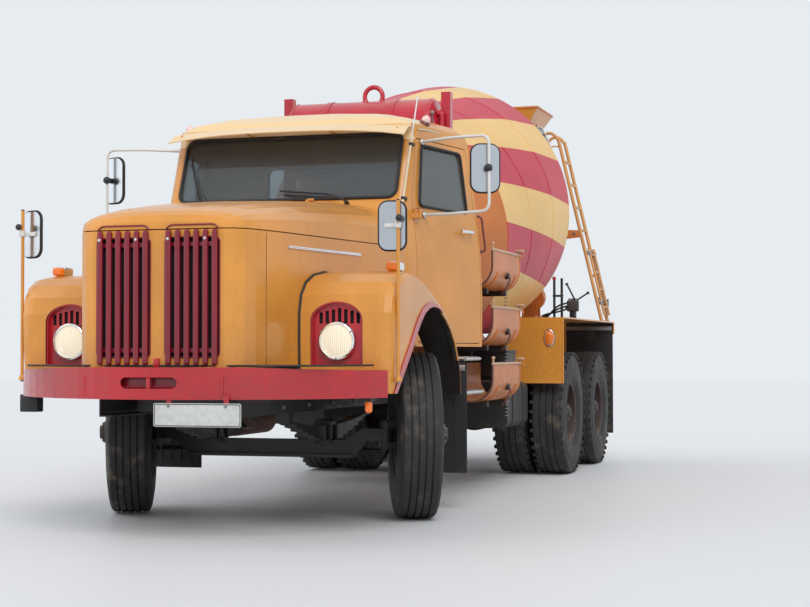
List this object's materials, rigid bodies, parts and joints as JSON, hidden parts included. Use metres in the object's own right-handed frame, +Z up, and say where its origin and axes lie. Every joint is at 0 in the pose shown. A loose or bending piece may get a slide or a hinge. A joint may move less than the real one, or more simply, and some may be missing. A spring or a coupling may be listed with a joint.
{
  "type": "concrete mixer truck",
  "caption": "Bonneted three-axle concrete mixer truck with a turning drum, hopper, swinging chute, steered front wheels, opening doors and a tilting bonnet lid",
  "frame": {"origin": "on the ground, midway between the truck's sides and between its front and rear ends", "axes": "+X to the truck's left, -Y forward, +Z up"},
  "size_m": [2.9, 8.57, 3.4755],
  "materials": {
    "chassis_black": "satin",
    "mixer_orange": "satin",
    "bumper_red": "gloss",
    "cast_grey": "rough",
    "black_plastic": "matte",
    "tyre_black": "matte",
    "body_yellow": "gloss",
    "grille_red": "gloss",
    "lamp_glass": "polished",
    "chrome_trim": "polished",
    "window_glass": "clear",
    "white_trim": "gloss",
    "tank_red": "gloss",
    "drum_cream": "satin",
    "ladder_steel": "satin",
    "flap_rubber": "matte",
    "lamp_red": "gloss",
    "rim_orange": "satin"
  },
  "bodies": {
    "chassis": {"chassis_frame": "chassis_black", "mixer_frame": "mixer_orange", "front_bumper": "bumper_red", "engine": "cast_grey", "radiator": "black_plastic", "prop_shafts": "chassis_black", "front_axle": "chassis_black", "rear_bogie": "chassis_black", "nose_and_sides": "body_yellow", "grille_bars": "grille_red", "front_wings": "body_yellow", "headlight_panels": "grille_red", "headlights": "lamp_glass", "wing_mirrors": "chrome_trim", "cab_shell": "body_yellow", "cab_glass": "window_glass", "cab_interior": "black_plastic", "cab_steps": "chassis_black", "water_tank": "tank_red", "tank_stand": "tank_red", "charge_hopper": "mixer_orange", "discharge_collector": "mixer_orange", "ladder": "ladder_steel", "chute_rack": "chassis_black", "spare_chutes": "mixer_orange", "rear_mudguards": "body_yellow", "mud_flaps": "flap_rubber", "side_tanks": "chassis_black", "rear_lamps": "lamp_red"},
    "knuckle_left": {"knuckle_left": "cast_grey"},
    "knuckle_right": {"knuckle_right": "cast_grey"},
    "tie_rod": {"tie_rod": "cast_grey"},
    "front_wheel_left": {"front_tyre_left": "tyre_black", "front_rim_left": "rim_orange"},
    "front_wheel_right": {"front_tyre_right": "tyre_black", "front_rim_right": "rim_orange"},
    "first_rear_wheels_left": {"first_rear_tyres_left": "tyre_black", "first_rear_rims_left": "rim_orange"},
    "first_rear_wheels_right": {"first_rear_tyres_right": "tyre_black", "first_rear_rims_right": "rim_orange"},
    "second_rear_wheels_left": {"second_rear_tyres_left": "tyre_black", "second_rear_rims_left": "rim_orange"},
    "second_rear_wheels_right": {"second_rear_tyres_right": "tyre_black", "second_rear_rims_right": "rim_orange"},
    "bonnet": {"bonnet_lid": "body_yellow"},
    "door_left": {"door_left": "body_yellow", "door_glass_left": "window_glass", "door_mirror_left": "white_trim"},
    "door_right": {"door_right": "body_yellow", "door_glass_right": "window_glass", "door_mirror_right": "white_trim"},
    "drum": {"drum_front": "mixer_orange", "drum_shell": "drum_cream", "drum_rear": "drum_cream", "drum_blades": "mixer_orange"},
    "chute_swivel": {"chute_swivel": "mixer_orange"},
    "chute": {"chute": "mixer_orange"}
  },
  "joints": [
    {"name": "steer_left", "type": "hinge", "parent": "chassis", "child": "knuckle_left", "pos_m": [0.8, -2.415, 0.535], "axis": [0, 0, 1], "range_deg": [-54, 14]},
    {"name": "steer_right", "type": "hinge", "parent": "chassis", "child": "knuckle_right", "pos_m": [-0.8, -2.415, 0.535], "axis": [0, 0, 1], "range_deg": [-54, 14]},
    {"name": "tie_rod_pin", "type": "hinge", "parent": "knuckle_left", "child": "tie_rod", "pos_m": [0.73444, -2.25274, 0.42], "axis": [0, 0, 1], "range_deg": [-14, 54]},
    {"name": "front_wheel_left_spin", "type": "hinge", "parent": "knuckle_left", "child": "front_wheel_left", "pos_m": [0.96689, -2.34757, 0.535], "axis": [0.9272, 0.3746, 0], "continuous": true},
    {"name": "front_wheel_right_spin", "type": "hinge", "parent": "knuckle_right", "child": "front_wheel_right", "pos_m": [-0.96689, -2.48243, 0.535], "axis": [0.9272, 0.3746, 0], "continuous": true},
    {"name": "first_rear_wheels_left_spin", "type": "hinge", "parent": "chassis", "child": "first_rear_wheels_left", "pos_m": [1.0775, 1.785, 0.535], "axis": [1, 0, 0], "continuous": true},
    {"name": "first_rear_wheels_right_spin", "type": "hinge", "parent": "chassis", "child": "first_rear_wheels_right", "pos_m": [-1.0775, 1.785, 0.535], "axis": [1, 0, 0], "continuous": true},
    {"name": "second_rear_wheels_left_spin", "type": "hinge", "parent": "chassis", "child": "second_rear_wheels_left", "pos_m": [1.0775, 3.135, 0.535], "axis": [1, 0, 0], "continuous": true},
    {"name": "second_rear_wheels_right_spin", "type": "hinge", "parent": "chassis", "child": "second_rear_wheels_right", "pos_m": [-1.0775, 3.135, 0.535], "axis": [1, 0, 0], "continuous": true},
    {"name": "bonnet_tilt", "type": "hinge", "parent": "chassis", "child": "bonnet", "pos_m": [0, -2.471, 2.062], "axis": [-1, 0, 0], "range_deg": [0, 50]},
    {"name": "door_left_swing", "type": "hinge", "parent": "chassis", "child": "door_left", "pos_m": [0.93, -2.075, 1.6], "axis": [0, 0, -1], "range_deg": [0, 70]},
    {"name": "door_right_swing", "type": "hinge", "parent": "chassis", "child": "door_right", "pos_m": [-0.93, -2.075, 1.6], "axis": [0, 0, 1], "range_deg": [0, 70]},
    {"name": "drum_spin", "type": "hinge", "parent": "chassis", "child": "drum", "pos_m": [0, 0.195, 2.01], "axis": [0, 0.9826, 0.1857], "continuous": true},
    {"name": "chute_swing", "type": "hinge", "parent": "chassis", "child": "chute_swivel", "pos_m": [0, 4.125, 1.1], "axis": [0, 0, 1], "range_deg": [-180, 0]},
    {"name": "chute_tilt", "type": "hinge", "parent": "chute_swivel", "child": "chute", "pos_m": [0, 4.125, 1.26], "axis": [0, 1, 0], "range_deg": [-30, 8]}
  ],
  "couplings": [
    {"joint": "steer_right", "follows": "steer_left", "ratio": 1},
    {"joint": "tie_rod_pin", "follows": "steer_left", "ratio": -1}
  ]
}
